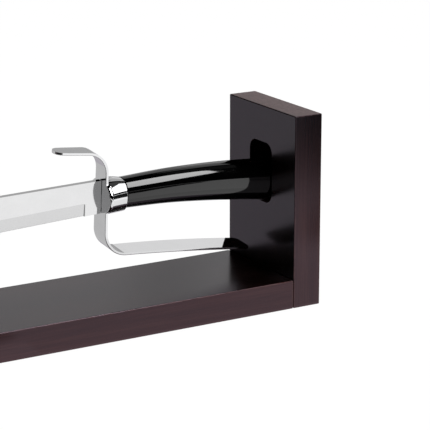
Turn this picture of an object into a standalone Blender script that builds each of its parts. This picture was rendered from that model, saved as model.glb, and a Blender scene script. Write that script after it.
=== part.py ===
"""Champagne sabre resting in its wooden display stand.

Metres, +Z up.  +X runs along the stand towards the hilt, +Y towards the back.
The origin lies on the table, midway between the blade's tip and the far end of
the stand.  The stand is three boards, dowelled and screwed.  The sabre is one
stack on a threaded tang: blade, guard, ferrule, handle, washer and nut.
"""
import math

import bmesh
import bpy
from mathutils import Vector

MM = 0.001

# Stand: overall sizes
UPRIGHT_HEIGHT = 140 * MM
UPRIGHT_THICKNESS = 22 * MM
BOARD_DEPTH = 90 * MM
BASE_THICKNESS = 21 * MM
ARRIS = 0.8 * MM
PAD_HEIGHT = 2 * MM
PAD_DIAMETER = 18 * MM
PAD_SETBACK = 8 * MM

# Stand: joinery
DOWEL_DIAMETER = 8 * MM
DOWEL_LENGTH = 30 * MM
DOWEL_CHAMFER = 1 * MM
DOWEL_IN_UPRIGHT = 11 * MM
DOWEL_SPACING = 60 * MM
SCREW_DIAMETER = 4.5 * MM
SCREW_CORE = 3.2 * MM
SCREW_LENGTH = 45 * MM
SCREW_HEAD = 8.6 * MM
SCREW_SPACING = 26 * MM
SCREW_PITCH = 3 * MM
SCREW_HEAD_RIM = 0.4 * MM
THREAD_RUN_OUT = 0.2 * MM
THREAD_START = 0.6 * MM
THREAD_FLANK = 0.9 * MM
SCREW_POINT = 2 * MM
SCREW_POINT_RADIUS = 0.3 * MM
SCREW_PLAIN_END = 5 * MM
HEX_SOCKET = 3 * MM
HEX_SOCKET_DEPTH = 1.6 * MM
PLUG_DIAMETER = 10 * MM
PLUG_LENGTH = 6 * MM

# Stand: where the sabre rests
POCKET_FLOOR = 69.5 * MM
POCKET_DEPTH = 17 * MM
POCKET_CORNER = 8 * MM
POCKET_HEADROOM = 13 * MM
POCKET_SIDE_ROOM = 1.5 * MM
POCKET_SHIFT = 1 * MM
SLOT_SIDE_ROOM = 0.6 * MM
SLOT_FLARE = 2 * MM
SLOT_FLARE_DEPTH = 4 * MM
TIP_OVERHANG = 31 * MM
BUTT_DEPTH = 14.3 * MM

# Sabre: blade
LEAN = math.radians(5)
BLADE_LENGTH = 268 * MM
SPINE_AT_GUARD = 12.5 * MM
SPINE_FALL = 0.026
EDGE_AT_GUARD = -11.4 * MM
EDGE_FALL = 0.048
EDGE_STRAIGHT = 75 * MM
EDGE_LOWEST = -18 * MM
BELLY_LENGTH = 70 * MM
SPINE_THICKNESS = 3.8 * MM
TIP_THICKNESS = 1.8 * MM
EDGE_THICKNESS = 0.4 * MM
RICASSO = 12.4 * MM
PLUNGE = 1 * MM
BEVEL_HEIGHT = 9.4 * MM
BEVEL_SHARE = 0.55
TIP_HEIGHT = 1.2 * MM

# Sabre: tang
TANG_HEIGHT = 10 * MM
TANG_THICKNESS = 3.2 * MM
TANG_FLAT = 62 * MM
TANG_AXIS = -2.5 * MM
ROD_DIAMETER = 5 * MM
ROD_CHAMFER = 0.6 * MM
ROD_IN_TANG = 2 * MM
ROD_SHORT_OF_BUTT = 2 * MM
NUT_WIDTH = 8 * MM
NUT_HEIGHT = 4 * MM
WASHER_DIAMETER = 10 * MM
WASHER_HEIGHT = 1 * MM
RECESS_DEPTH = 8.5 * MM

# Sabre: guard strip, from the quillon's tip down to the free end of the bow
STRIP_THICKNESS = 1.9 * MM
QUILLON_WIDTH = 12.8 * MM
LEG_WIDTH = 16.8 * MM
BOW_WIDTH = 20.6 * MM
QUILLON_LENGTH = 24.5 * MM
QUILLON_BEND = 15.05 * MM
QUILLON_RISE = math.radians(6.5)
LEG_LENGTH = 43.8 * MM
LEG_ABOVE_PLATE = 18.6 * MM
BOW_BEND = 17.05 * MM
BOW_DROP = math.radians(3.8)
BOW_LENGTH = 101.4 * MM
BOW_CURL = math.radians(4.5)
BOW_CORNER = 4 * MM
STRIP_EDGE = 0.3 * MM
PLATE_WIDTH = 32.4 * MM
PLATE_HEIGHT = 24.4 * MM
PLATE_CENTRE = 0.9 * MM

# Sabre: ferrule and handle
FERRULE_LENGTH = 13.8 * MM
FERRULE_HEIGHT = 24.8 * MM
FERRULE_REAR_WIDTH = 22.6 * MM
FERRULE_REAR_HEIGHT = 23.4 * MM
FERRULE_REAR_CENTRE = 0.4 * MM
FERRULE_LIP = 1 * MM
HANDLE_LENGTH = 128.2 * MM
NECK_HEIGHT = 21.8 * MM
NECK_WIDTH = 20.8 * MM
POMMEL_HEIGHT = 31 * MM
POMMEL_WIDTH = 27 * MM
NECK_CENTRE = 1.2 * MM
POMMEL_CENTRE = -4.4 * MM
HUMP = 0.35 * MM
BUTT_ROUNDING = 10 * MM
BUTT_FULLNESS = 1.12

# How pieces meet, and how finely round pieces are cut
GAP = 0.3 * MM
OVERCUT = 1 * MM
SIDES = 24
HANDLE_SIDES = 32

# Worked out from the sizes above
PLATE_REAR = STRIP_THICKNESS
FERRULE_FRONT = PLATE_REAR + GAP
FERRULE_REAR = FERRULE_FRONT + FERRULE_LENGTH
HANDLE_FRONT = FERRULE_REAR + GAP
BUTT_END = HANDLE_FRONT + HANDLE_LENGTH
POMMEL = BUTT_END - BUTT_ROUNDING
SPAN_TO_TIP = BLADE_LENGTH + BUTT_END - BUTT_DEPTH
OVERALL_LENGTH = SPAN_TO_TIP + UPRIGHT_THICKNESS
BASE_LENGTH = SPAN_TO_TIP - TIP_OVERHANG - UPRIGHT_THICKNESS
RIGHT_FACE = OVERALL_LENGTH / 2
BASE_RIGHT = RIGHT_FACE - UPRIGHT_THICKNESS
BASE_LEFT = BASE_RIGHT - BASE_LENGTH
LEFT_FACE = BASE_LEFT - UPRIGHT_THICKNESS
GUARD_X = BASE_RIGHT + BUTT_DEPTH - BUTT_END
JOINERY_Z = PAD_HEIGHT + BASE_THICKNESS / 2
SCREW_SEAT = PLUG_LENGTH + GAP
HEAD_HEIGHT = (SCREW_HEAD - SCREW_DIAMETER) / 2


def clear_scene():
    """Remove every object, mesh and material that the file opened with."""
    for item in list(bpy.data.objects):
        bpy.data.objects.remove(item, do_unlink=True)
    for store in (bpy.data.meshes, bpy.data.materials):
        for item in list(store):
            store.remove(item)


def make_material(name, colour, roughness, metallic):
    """A Principled material with the given finish."""
    material = bpy.data.materials.new(name)
    material.use_nodes = True
    shader = material.node_tree.nodes["Principled BSDF"]
    shader.inputs["Base Color"].default_value = (*colour, 1)
    shader.inputs["Roughness"].default_value = roughness
    shader.inputs["Metallic"].default_value = metallic
    return material


def make_empty(name, location, lean=0.0):
    """A frame that pieces hang from."""
    empty = bpy.data.objects.new(name, None)
    empty.location = location
    empty.rotation_euler = (lean, 0, 0)
    bpy.context.collection.objects.link(empty)
    return empty


def make_object(name, bm, finish, parent, smooth=True):
    """Turn a bmesh into a named object with a material of its own."""
    bmesh.ops.recalc_face_normals(bm, faces=bm.faces)
    mesh = bpy.data.meshes.new(name)
    bm.to_mesh(mesh)
    bm.free()
    if smooth:
        mesh.shade_smooth()
        mesh.set_sharp_from_angle(angle=math.radians(35))
    piece = bpy.data.objects.new(name, mesh)
    piece.parent = parent
    bpy.context.collection.objects.link(piece)
    if finish:
        mesh.materials.append(make_material(name, *finish))
    else:
        piece.hide_render = True
        piece.display_type = "WIRE"
    return piece


def add_loft(bm, rings):
    """Skin a row of closed rings of equal count and cap both ends."""
    rows = [[bm.verts.new(point) for point in ring] for ring in rings]
    for first, second in zip(rows, rows[1:]):
        for i in range(len(first)):
            j = (i + 1) % len(first)
            bm.faces.new((first[i], first[j], second[j], second[i]))
    bm.faces.new(rows[0])
    bm.faces.new(rows[-1])


def oval_ring(x, width, height, centre, sides):
    """An upright ellipse across the X axis."""
    turn = [math.tau * i / sides for i in range(sides)]
    return [(x, width / 2 * math.cos(a), centre + height / 2 * math.sin(a)) for a in turn]


def turned_rings(profile, y=0.0, z=0.0, sides=SIDES):
    """Circles along X from a profile of (x, radius) steps."""
    rings = []
    for x, r in profile:
        rings.append([(px, py + y, pz) for px, py, pz in oval_ring(x, 2 * r, 2 * r, z, sides)])
    return rings


def box_rings(low, high):
    """The two end rings of a box, across the X axis."""
    corners = [(low[1], low[2]), (high[1], low[2]), (high[1], high[2]), (low[1], high[2])]
    return [[(x, y, z) for y, z in corners] for x in (low[0], high[0])]


def cut(piece, cutter):
    """Take a cutter's shape out of a piece."""
    boolean = piece.modifiers.new("cut_" + cutter.name, "BOOLEAN")
    boolean.operation = "DIFFERENCE"
    boolean.object = cutter


def round_edges(piece, width, segments=2):
    """Break the sharp edges of a piece."""
    bevel = piece.modifiers.new("edges", "BEVEL")
    bevel.width = width
    bevel.segments = segments
    bevel.limit_method = "ANGLE"
    bevel.angle_limit = math.radians(40)


def smooth_through(points):
    """A smooth curve through (x, y) points, as a function of x."""
    xs = [x for x, _ in points]
    ys = [y for _, y in points]
    last = len(points) - 1
    slopes = []
    for i in range(last + 1):
        low = max(i - 1, 0)
        high = min(i + 1, last)
        slopes.append((ys[high] - ys[low]) / (xs[high] - xs[low]))

    def value(x):
        i = 0
        while i < last - 1 and x > xs[i + 1]:
            i += 1
        span = xs[i + 1] - xs[i]
        u = (x - xs[i]) / span
        blend = u * u * (3 - 2 * u)
        start = u * (1 - u) ** 2 * slopes[i]
        end = u * u * (u - 1) * slopes[i + 1]
        return ys[i] + (ys[i + 1] - ys[i]) * blend + span * (start + end)

    return value


def steps(start, end, count):
    """Evenly spaced values from start to end, both included."""
    return [start + (end - start) * i / count for i in range(count + 1)]


# ---------------------------------------------------------------- outlines

def spine_height(x):
    """Height of the blade's back above the sabre's axis; x is negative."""
    return SPINE_AT_GUARD + SPINE_FALL * x


def edge_height(x):
    """Height of the cutting edge: straight, then level, then the belly's arc."""
    reach = -x
    belly = BLADE_LENGTH - BELLY_LENGTH
    straight_end = EDGE_AT_GUARD - EDGE_FALL * EDGE_STRAIGHT
    if reach <= EDGE_STRAIGHT:
        return EDGE_AT_GUARD - EDGE_FALL * reach
    if reach <= belly:
        u = (reach - EDGE_STRAIGHT) / (belly - EDGE_STRAIGHT)
        fall = EDGE_LOWEST - straight_end
        tangent = -EDGE_FALL * (belly - EDGE_STRAIGHT)
        return straight_end + fall * u * u * (3 - 2 * u) + tangent * u * (1 - u) ** 2
    rise = spine_height(-BLADE_LENGTH) - TIP_HEIGHT - EDGE_LOWEST
    radius = (BELLY_LENGTH ** 2 + rise ** 2) / (2 * rise)
    return EDGE_LOWEST + radius - math.sqrt(radius ** 2 - (reach - belly) ** 2)


def handle_shape():
    """Height, width and centre of the handle as functions of x."""
    def at(share):
        return HANDLE_FRONT + (POMMEL - HANDLE_FRONT) * share

    def between(neck, pommel, share):
        return neck + (pommel - neck) * share

    height = smooth_through([(at(0), NECK_HEIGHT),
                             (at(0.3), between(NECK_HEIGHT, POMMEL_HEIGHT, 0.28)),
                             (at(0.6), between(NECK_HEIGHT, POMMEL_HEIGHT, 0.6)),
                             (at(1), POMMEL_HEIGHT)])
    width = smooth_through([(at(0), NECK_WIDTH),
                            (at(0.3), between(NECK_WIDTH, POMMEL_WIDTH, 0.38)),
                            (at(0.6), between(NECK_WIDTH, POMMEL_WIDTH, 0.68)),
                            (at(1), POMMEL_WIDTH)])
    centre = smooth_through([(at(0), NECK_CENTRE),
                             (at(0.28), NECK_CENTRE + HUMP),
                             (at(0.55), between(NECK_CENTRE, POMMEL_CENTRE, 0.16)),
                             (at(0.8), between(NECK_CENTRE, POMMEL_CENTRE, 0.56)),
                             (at(1), POMMEL_CENTRE)])
    return height, width, centre


def handle_section(x):
    """Width, height and centre of the handle at x, with the butt rounded over."""
    height, width, centre = handle_shape()
    inside = min(x, POMMEL)
    rounding = max(0.0, x - POMMEL) / (BUTT_ROUNDING * BUTT_FULLNESS)
    share = math.sqrt(1 - rounding ** 2)
    return width(inside) * share, height(inside) * share, centre(inside)


def handle_drop():
    """How far the leaning handle's underside reaches below the sabre's axis."""
    drops = []
    for x in steps(HANDLE_FRONT, BUTT_END, 60):
        width, height, centre = handle_section(x)
        tall = height / 2 * math.cos(LEAN)
        wide = width / 2 * math.sin(LEAN)
        drops.append(math.hypot(tall, wide) - centre * math.cos(LEAN))
    return max(drops)


SEAT_Z = PAD_HEIGHT + POCKET_FLOOR + GAP + handle_drop()


class StripPath:
    """The guard's bent centre line: straight runs and arcs, by distance."""

    def __init__(self):
        self.runs = [(QUILLON_LENGTH, 0.0),
                     (QUILLON_BEND * (math.pi / 2 - QUILLON_RISE), QUILLON_RISE - math.pi / 2),
                     (LEG_LENGTH, 0.0),
                     (BOW_BEND * (math.pi / 2 - BOW_DROP), math.pi / 2 - BOW_DROP),
                     (BOW_LENGTH, -BOW_CURL)]
        self.length = sum(length for length, _ in self.runs)
        self.plate = self.runs[0][0] + self.runs[1][0] + LEG_ABOVE_PLATE
        self.shift = Vector((0, 0))
        point, _ = self.at(self.plate)
        self.shift = Vector((STRIP_THICKNESS / 2, PLATE_CENTRE)) - point

    def at(self, distance):
        """Point in X and Z, and heading, at a distance from the quillon's tip."""
        point = self.shift.copy()
        heading = -QUILLON_RISE
        for length, turn in self.runs:
            run = min(distance, length)
            bend = turn * run / length
            chord = run if not turn else 2 * length / turn * math.sin(bend / 2)
            middle = heading + bend / 2
            point += chord * Vector((math.cos(middle), math.sin(middle)))
            heading += bend
            distance -= run
            if distance <= 0:
                break
        return point, heading

    def half_width(self, distance):
        """Half the strip's width, through its three named widths."""
        u = distance / self.length
        k = self.plate / self.length
        quillon = QUILLON_WIDTH * (u - k) * (u - 1) / k
        leg = LEG_WIDTH * u * (u - 1) / (k * (k - 1))
        bow = BOW_WIDTH * u * (u - k) / (1 - k)
        return (quillon + leg + bow) / 2

    def stations(self):
        """(distance, half width) along the strip, with its oval plate and rounded ends."""
        tip = self.half_width(0)
        found = []
        for angle in steps(math.radians(20), math.pi / 2, 7):
            found.append((tip * (1 - math.cos(angle)), tip * math.sin(angle)))
        waist = self.half_width(self.plate)
        crossing = math.acos(waist / (PLATE_WIDTH / 2))
        plate_start = self.plate - PLATE_HEIGHT / 2 * math.sin(crossing)
        plate_end = self.plate + PLATE_HEIGHT / 2 * math.sin(crossing)
        bend_1 = self.runs[0][0]
        bend_1_end = bend_1 + self.runs[1][0]
        bend_2 = bend_1_end + self.runs[2][0]
        bend_2_end = bend_2 + self.runs[3][0]
        plain = [bend_1 * 0.6] + steps(bend_1, bend_1_end, 12)
        plain += [plate_start, plate_end]
        plain += steps(bend_2, bend_2_end, 12)
        plain += steps(bend_2_end, self.length - BOW_CORNER, 8)[1:]
        found += [(distance, self.half_width(distance)) for distance in plain]
        for angle in steps(-crossing, crossing, 16)[1:-1]:
            distance = self.plate + PLATE_HEIGHT / 2 * math.sin(angle)
            found.append((distance, PLATE_WIDTH / 2 * math.cos(angle)))
        square = self.half_width(self.length) - BOW_CORNER
        for angle in steps(0, math.pi / 2, 4)[1:]:
            distance = self.length - BOW_CORNER * (1 - math.sin(angle))
            found.append((distance, square + BOW_CORNER * math.cos(angle)))
        return sorted(found)


# ------------------------------------------------------------------- stand

WOOD = ((0.055, 0.032, 0.028), 0.35, 0.0)
HARDWARE = ((0.62, 0.60, 0.55), 0.35, 1.0)
BEECH = ((0.55, 0.40, 0.25), 0.7, 0.0)
FELT = ((0.02, 0.02, 0.02), 0.95, 0.0)
STEEL = ((0.72, 0.72, 0.73), 0.18, 1.0)
BLACK = ((0.01, 0.01, 0.011), 0.08, 0.0)


def make_board(name, low, high, parent):
    """A board with its arrises just broken, between two corners."""
    middle = (Vector(low) + Vector(high)) / 2
    bm = bmesh.new()
    add_loft(bm, box_rings(Vector(low) - middle, Vector(high) - middle))
    board = make_object(name, bm, WOOD, parent, smooth=False)
    board.location = middle
    round_edges(board, ARRIS)
    return board


def screw_profile():
    """A countersunk wood screw: head at x = 0, threaded shank along -X."""
    head = SCREW_HEAD / 2
    major = SCREW_DIAMETER / 2
    core = SCREW_CORE / 2
    profile = [(0, head), (-SCREW_HEAD_RIM, head), (-HEAD_HEIGHT, major)]
    thread_start = -(UPRIGHT_THICKNESS - SCREW_SEAT)
    profile += [(thread_start, major), (thread_start - THREAD_RUN_OUT, core)]
    turns = int((SCREW_LENGTH + thread_start - SCREW_PLAIN_END) / SCREW_PITCH)
    for i in range(turns):
        x = thread_start - THREAD_START - i * SCREW_PITCH
        profile += [(x, core), (x - THREAD_FLANK, major), (x - 2 * THREAD_FLANK, core)]
    profile += [(-SCREW_LENGTH + SCREW_POINT, core), (-SCREW_LENGTH, SCREW_POINT_RADIUS)]
    return profile


def screw_hole_profile():
    """The plug's bore, the head's seat and the shank's hole, from the outer face inwards."""
    bore = PLUG_DIAMETER / 2 + GAP
    shank = SCREW_DIAMETER / 2 + GAP
    seat = -SCREW_SEAT - HEAD_HEIGHT - GAP
    end = -SCREW_SEAT - SCREW_LENGTH - GAP
    return [(OVERCUT, bore), (seat, bore), (seat, shank), (end, shank)]


def make_joinery(side, parent, boards):
    """Dowels, screws and plugs that hold one upright to the base."""
    outer = RIGHT_FACE if side > 0 else LEFT_FACE
    seam = BASE_RIGHT if side > 0 else BASE_LEFT
    end = "handle_end" if side > 0 else "blade_end"
    dowel_x = seam + side * (DOWEL_IN_UPRIGHT - DOWEL_LENGTH / 2)
    half = DOWEL_LENGTH / 2
    radius = DOWEL_DIAMETER / 2
    holes = bmesh.new()
    for number, share in ((1, -1), (2, 1)):
        y = share * DOWEL_SPACING / 2
        hole = [(dowel_x - half - GAP, radius + GAP), (dowel_x + half + GAP, radius + GAP)]
        add_loft(holes, turned_rings(hole, y, JOINERY_Z))
        shape = [(-half, radius - DOWEL_CHAMFER), (-half + DOWEL_CHAMFER, radius),
                 (half - DOWEL_CHAMFER, radius), (half, radius - DOWEL_CHAMFER)]
        bm = bmesh.new()
        add_loft(bm, turned_rings(shape))
        dowel = make_object(f"dowel_{end}_{number}", bm, BEECH, parent)
        dowel.location = (dowel_x, y, JOINERY_Z)

        y = share * SCREW_SPACING / 2
        hole = [(outer + side * x, r) for x, r in screw_hole_profile()]
        add_loft(holes, turned_rings(hole, y, JOINERY_Z))
        make_screw(f"screw_{end}_{number}", (outer - side * SCREW_SEAT, y, JOINERY_Z), side, parent)

        bm = bmesh.new()
        add_loft(bm, turned_rings([(-PLUG_LENGTH, PLUG_DIAMETER / 2), (0, PLUG_DIAMETER / 2)]))
        plug = make_object(f"plug_{end}_{number}", bm, WOOD, parent)
        plug.location = (outer, y, JOINERY_Z)
        plug.rotation_euler.z = 0 if side > 0 else math.pi
    cutter = make_object(f"joinery_holes_{end}", holes, None, parent)
    for board in boards:
        cut(board, cutter)


def make_screw(name, location, side, parent):
    """One countersunk screw with a hexagonal socket in its head."""
    bm = bmesh.new()
    add_loft(bm, turned_rings(screw_profile(), sides=14))
    screw = make_object(name, bm, HARDWARE, parent)
    socket = bmesh.new()
    corner = HEX_SOCKET / math.sqrt(3)
    add_loft(socket, turned_rings([(-HEX_SOCKET_DEPTH, corner), (OVERCUT, corner)], sides=6))
    cutter = make_object(name + "_socket", socket, None, screw)
    cut(screw, cutter)
    screw.location = location
    screw.rotation_euler.z = 0 if side > 0 else math.pi


def rounded_slot_ring(x, width, height, radius, y, floor):
    """A rounded rectangle across the X axis, standing on its floor."""
    ring = []
    across = width / 2 - radius
    centre_z = floor + height / 2
    up = height / 2 - radius
    for quarter, (sy, sz) in enumerate(((1, 1), (-1, 1), (-1, -1), (1, -1))):
        for angle in steps(quarter * math.pi / 2, (quarter + 1) * math.pi / 2, 6):
            ring.append((x, y + sy * across + radius * math.cos(angle),
                         centre_z + sz * up + radius * math.sin(angle)))
    return ring


def cut_pocket(upright, parent):
    """The blind pocket in the right-hand upright, which takes the handle's butt."""
    width = POMMEL_WIDTH + 2 * POCKET_SIDE_ROOM
    height = POMMEL_HEIGHT + POCKET_HEADROOM
    floor = PAD_HEIGHT + POCKET_FLOOR
    rings = []
    for x in (BASE_RIGHT - OVERCUT, BASE_RIGHT + POCKET_DEPTH):
        rings.append(rounded_slot_ring(x, width, height, POCKET_CORNER, POCKET_SHIFT, floor))
    bm = bmesh.new()
    add_loft(bm, rings)
    cut(upright, make_object("handle_pocket", bm, None, parent))


def cut_slot(upright, parent):
    """The open slot in the left-hand upright, which the blade drops into."""
    reach = steps(LEFT_FACE - GUARD_X, BASE_LEFT - GUARD_X, 20)
    inside = [max(x, -BLADE_LENGTH) for x in reach]
    lowest = min(edge_height(x) for x in inside)
    highest = max(spine_height(x) for x in inside)
    floor = SEAT_Z + lowest * math.cos(LEAN) - GAP
    swing = (highest - lowest) * math.sin(LEAN)
    half = (SPINE_THICKNESS + swing) / 2 + SLOT_SIDE_ROOM
    y = -(highest + lowest) / 2 * math.sin(LEAN)
    top = PAD_HEIGHT + UPRIGHT_HEIGHT
    outline = [(half, floor), (half, top - SLOT_FLARE_DEPTH), (half + SLOT_FLARE, top),
               (half + SLOT_FLARE, top + OVERCUT)]
    outline += [(-across, z) for across, z in reversed(outline)]
    rings = []
    for x in (LEFT_FACE - OVERCUT, BASE_LEFT + OVERCUT):
        rings.append([(x, y + across, z) for across, z in outline])
    bm = bmesh.new()
    add_loft(bm, rings)
    cut(upright, make_object("blade_slot", bm, None, parent))


def make_pads(parent):
    """Four felt pads under the uprights."""
    radius = PAD_DIAMETER / 2
    y = BOARD_DEPTH / 2 - PAD_SETBACK - radius
    for end, middle in (("handle_end", RIGHT_FACE - UPRIGHT_THICKNESS / 2),
                        ("blade_end", LEFT_FACE + UPRIGHT_THICKNESS / 2)):
        for number, share in ((1, -1), (2, 1)):
            bm = bmesh.new()
            bmesh.ops.create_cone(bm, cap_ends=True, segments=SIDES, radius1=radius,
                                  radius2=radius, depth=PAD_HEIGHT - GAP)
            pad = make_object(f"pad_{end}_{number}", bm, FELT, parent)
            pad.location = (middle, share * y, (PAD_HEIGHT - GAP) / 2)


def make_stand():
    """Base board, two uprights and everything that joins them."""
    stand = make_empty("stand_frame", (0, 0, 0))
    back = BOARD_DEPTH / 2
    top = PAD_HEIGHT + UPRIGHT_HEIGHT
    base = make_board("base_board", (BASE_LEFT + GAP, -back, PAD_HEIGHT),
                      (BASE_RIGHT - GAP, back, PAD_HEIGHT + BASE_THICKNESS), stand)
    handle_upright = make_board("handle_upright", (BASE_RIGHT, -back, PAD_HEIGHT),
                                (RIGHT_FACE, back, top), stand)
    blade_upright = make_board("blade_upright", (LEFT_FACE, -back, PAD_HEIGHT),
                               (BASE_LEFT, back, top), stand)
    make_joinery(1, stand, (handle_upright, base))
    make_joinery(-1, stand, (blade_upright, base))
    cut_pocket(handle_upright, stand)
    cut_slot(blade_upright, stand)
    make_pads(stand)


# ------------------------------------------------------------------- sabre

def blade_ring(x):
    """The blade's section: flat sides, then the bevel down to the edge."""
    spine = spine_height(x)
    edge = edge_height(x)
    taper = -x / BLADE_LENGTH
    half = (SPINE_THICKNESS + (TIP_THICKNESS - SPINE_THICKNESS) * taper ** 2) / 2
    ground = min(1.0, max(0.0, (-x - RICASSO) / PLUNGE))
    foot = half + (EDGE_THICKNESS / 2 - half) * ground
    bevel = edge + min(BEVEL_HEIGHT, BEVEL_SHARE * (spine - edge))
    return [(x, -half, spine), (x, half, spine), (x, half, bevel),
            (x, foot, edge), (x, -foot, edge), (x, -half, bevel)]


def tang_ring(x):
    """The flat tang's section, with as many points as the blade's."""
    half = TANG_THICKNESS / 2
    top = TANG_AXIS + TANG_HEIGHT / 2
    foot = TANG_AXIS - TANG_HEIGHT / 2
    return [(x, -half, top), (x, half, top), (x, half, TANG_AXIS),
            (x, half, foot), (x, -half, foot), (x, -half, TANG_AXIS)]


def make_blade(parent):
    """Blade, shoulder, flat tang and threaded rod, in one piece of steel."""
    straight = [-GAP, -RICASSO, -RICASSO - PLUNGE] + steps(-EDGE_STRAIGHT * 0.5, -EDGE_STRAIGHT, 2)
    level = steps(-EDGE_STRAIGHT, -BLADE_LENGTH + BELLY_LENGTH, 6)[1:]
    belly = [-BLADE_LENGTH + BELLY_LENGTH * (1 - math.sin(angle))
             for angle in steps(0, math.pi / 2, 16)[1:]]
    places = sorted(straight + level + belly)
    rings = [blade_ring(x) for x in places]
    rings += [tang_ring(-GAP), tang_ring(TANG_FLAT)]
    bm = bmesh.new()
    add_loft(bm, rings)
    blade = make_object("blade", bm, STEEL, parent)

    rod_end = BUTT_END - ROD_SHORT_OF_BUTT
    radius = ROD_DIAMETER / 2
    rod = bmesh.new()
    add_loft(rod, turned_rings([(TANG_FLAT - ROD_IN_TANG, radius), (rod_end - ROD_CHAMFER, radius),
                                (rod_end, radius - ROD_CHAMFER)], z=TANG_AXIS))
    joined = blade.modifiers.new("threaded_rod", "BOOLEAN")
    joined.operation = "UNION"
    joined.object = make_object("threaded_rod", rod, None, parent)
    return blade


def make_guard(parent, passage):
    """One steel strip: quillon, leg with its oval plate, and knuckle bow."""
    path = StripPath()
    rings = []
    for distance, half in path.stations():
        point, heading = path.at(distance)
        across = Vector((-math.sin(heading), math.cos(heading))) * STRIP_THICKNESS / 2
        upper = point + across
        lower = point - across
        rings.append([(upper.x, -half, upper.y), (upper.x, half, upper.y),
                      (lower.x, half, lower.y), (lower.x, -half, lower.y)])
    bm = bmesh.new()
    add_loft(bm, rings)
    guard = make_object("guard", bm, STEEL, parent)
    round_edges(guard, STRIP_EDGE, 1)
    cut(guard, passage)


def make_ferrule(parent, passage):
    """Polished collar that tapers from the oval plate to the handle's neck."""
    rear = FERRULE_REAR - FERRULE_LIP
    front_width = PLATE_WIDTH - 2 * STRIP_EDGE
    rings = []
    for share in steps(0, 1, 6):
        x = FERRULE_FRONT + (rear - FERRULE_FRONT) * share
        rings.append(oval_ring(x, front_width + (FERRULE_REAR_WIDTH - front_width) * share,
                               FERRULE_HEIGHT + (FERRULE_REAR_HEIGHT - FERRULE_HEIGHT) * share ** 2,
                               PLATE_CENTRE + (FERRULE_REAR_CENTRE - PLATE_CENTRE) * share ** 2,
                               HANDLE_SIDES))
    for angle in steps(0, math.pi / 2, 4)[1:]:
        inset = 2 * FERRULE_LIP * (1 - math.cos(angle))
        rings.append(oval_ring(rear + FERRULE_LIP * math.sin(angle), FERRULE_REAR_WIDTH - inset,
                               FERRULE_REAR_HEIGHT - inset, FERRULE_REAR_CENTRE, HANDLE_SIDES))
    bm = bmesh.new()
    add_loft(bm, rings)
    cut(make_object("ferrule", bm, STEEL, parent), passage)


def make_handle(parent, passage):
    """Drooping handle of oval section, bored for the tang and its nut."""
    body = steps(HANDLE_FRONT, POMMEL, 20)
    butt = [POMMEL + BUTT_ROUNDING * math.sin(angle) for angle in steps(0, math.pi / 2, 6)[1:]]
    rings = []
    for x in body + butt:
        width, height, centre = handle_section(x)
        rings.append(oval_ring(x, width, height, centre, HANDLE_SIDES))
    bm = bmesh.new()
    add_loft(bm, rings)
    handle = make_object("handle", bm, BLACK, parent)
    cut(handle, passage)

    rod = ROD_DIAMETER / 2 + GAP
    recess = WASHER_DIAMETER / 2 + GAP
    floor = BUTT_END - RECESS_DEPTH
    bore = bmesh.new()
    add_loft(bore, turned_rings([(TANG_FLAT - ROD_IN_TANG - GAP, rod), (floor, rod), (floor, recess),
                                 (BUTT_END + OVERCUT, recess)], z=TANG_AXIS))
    cut(handle, make_object("rod_bore", bore, None, parent))


def make_fixings(parent):
    """Washer and hexagonal nut in the butt's recess, on the threaded rod."""
    bore = ROD_DIAMETER / 2 + GAP
    washer_x = BUTT_END - RECESS_DEPTH + GAP
    nut_x = washer_x + WASHER_HEIGHT + GAP
    clearance = bmesh.new()
    add_loft(clearance, turned_rings([(washer_x - OVERCUT, bore),
                                      (nut_x + NUT_HEIGHT + OVERCUT, bore)], z=TANG_AXIS))
    cutter = make_object("rod_clearance", clearance, None, parent)
    for name, x, height, radius, sides in (
            ("tang_washer", washer_x, WASHER_HEIGHT, WASHER_DIAMETER / 2, SIDES),
            ("tang_nut", nut_x, NUT_HEIGHT, NUT_WIDTH / math.sqrt(3), 6)):
        bm = bmesh.new()
        add_loft(bm, turned_rings([(x, radius), (x + height, radius)], z=TANG_AXIS, sides=sides))
        cut(make_object(name, bm, HARDWARE, parent), cutter)


def make_sabre():
    """The sabre, leaning a little in its stand, stacked on its own tang."""
    sabre = make_empty("sabre_axis", (GUARD_X, 0, SEAT_Z), LEAN)
    half = TANG_THICKNESS / 2 + GAP
    tall = TANG_HEIGHT / 2 + GAP
    bm = bmesh.new()
    add_loft(bm, box_rings((-OVERCUT, -half, TANG_AXIS - tall),
                           (TANG_FLAT + GAP, half, TANG_AXIS + tall)))
    passage = make_object("tang_passage", bm, None, sabre)
    make_blade(sabre)
    make_guard(sabre, passage)
    make_ferrule(sabre, passage)
    make_handle(sabre, passage)
    make_fixings(sabre)


clear_scene()
make_stand()
make_sabre()
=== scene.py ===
"""Looks of the champagne sabre and its display stand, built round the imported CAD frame."""

import math

import bmesh
import bpy
from mathutils import Matrix, Vector, noise


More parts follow.
